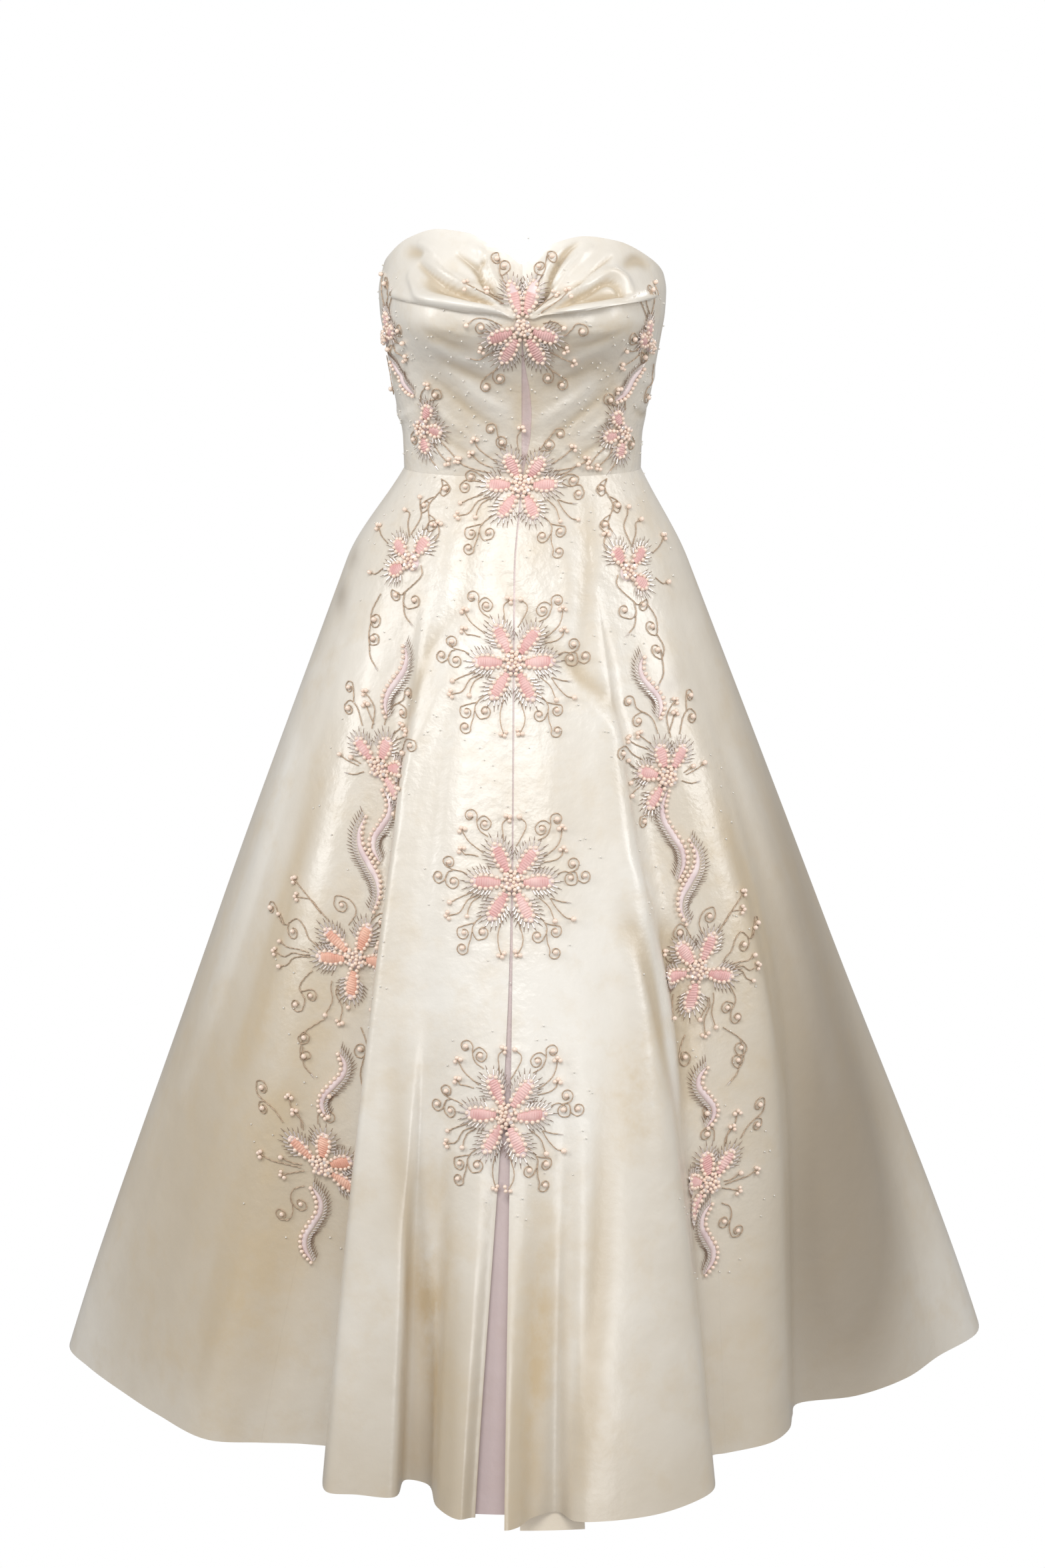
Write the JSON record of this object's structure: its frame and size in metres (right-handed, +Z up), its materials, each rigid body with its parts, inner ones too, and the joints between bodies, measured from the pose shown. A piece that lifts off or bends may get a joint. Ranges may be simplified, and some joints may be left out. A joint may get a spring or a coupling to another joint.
{
  "type": "ball gown",
  "caption": "Strapless satin ball gown with draped bust cups, fitted bodice, full gored skirt, front slit underlay and embroidered flowers and leaves, filled out as worn.",
  "frame": {"origin": "middle of the gown's waist, where the wearer's waist holds it, between the two side seams", "axes": "+Z up along the wearer's body, -Y towards the front, +X towards the wearer's left"},
  "size_m": [0.9332, 0.9097, 1.142],
  "materials": {
    "satin": "satin sheen",
    "lilac_satin": "satin sheen",
    "lining": "matt",
    "flower_embroidery": "satin stitch",
    "leaf_embroidery": "satin stitch",
    "pearl": "pearl lustre",
    "glass_bead": "silver lined glass",
    "metal_cord": "metallic thread"
  },
  "bodies": {
    "root": {"bodice_front_left": "satin", "bodice_front_right": "satin", "bodice_side_front_left": "satin", "bodice_side_front_right": "satin", "bust_cup_left": "satin", "bust_cup_right": "satin", "bodice_side_back_left": "satin", "bodice_side_back_right": "satin", "bodice_back_left": "satin", "bodice_back_right": "satin", "skirt_front_left": "satin", "skirt_front_right": "satin", "skirt_side_front_left": "satin", "skirt_side_front_right": "satin", "skirt_side_back_left": "satin", "skirt_side_back_right": "satin", "skirt_back_left": "satin", "skirt_back_right": "satin", "bodice_underlay": "lilac_satin", "skirt_underlay": "lilac_satin", "underskirt_hem": "lining", "flower_centre_1": "flower_embroidery", "flower_centre_2": "flower_embroidery", "flower_centre_3": "flower_embroidery", "flower_centre_4": "flower_embroidery", "flower_centre_5": "flower_embroidery", "flower_bodice_right_1": "flower_embroidery", "flower_bodice_right_2": "flower_embroidery", "flower_bodice_left_1": "flower_embroidery", "flower_bodice_left_2": "flower_embroidery", "flower_right_1": "flower_embroidery", "flower_right_2": "flower_embroidery", "flower_right_3": "flower_embroidery", "flower_right_4": "flower_embroidery", "flower_left_1": "flower_embroidery", "flower_left_2": "flower_embroidery", "flower_left_3": "flower_embroidery", "flower_left_4": "flower_embroidery", "leaf_bodice_right": "leaf_embroidery", "leaf_bodice_left": "leaf_embroidery", "leaf_right_1": "leaf_embroidery", "leaf_right_2": "leaf_embroidery", "leaf_right_3": "leaf_embroidery", "leaf_right_4": "leaf_embroidery", "leaf_right_5": "leaf_embroidery", "leaf_left_1": "leaf_embroidery", "leaf_left_2": "leaf_embroidery", "leaf_left_3": "leaf_embroidery", "leaf_left_4": "leaf_embroidery", "leaf_left_5": "leaf_embroidery"}
  },
  "joints": []
}
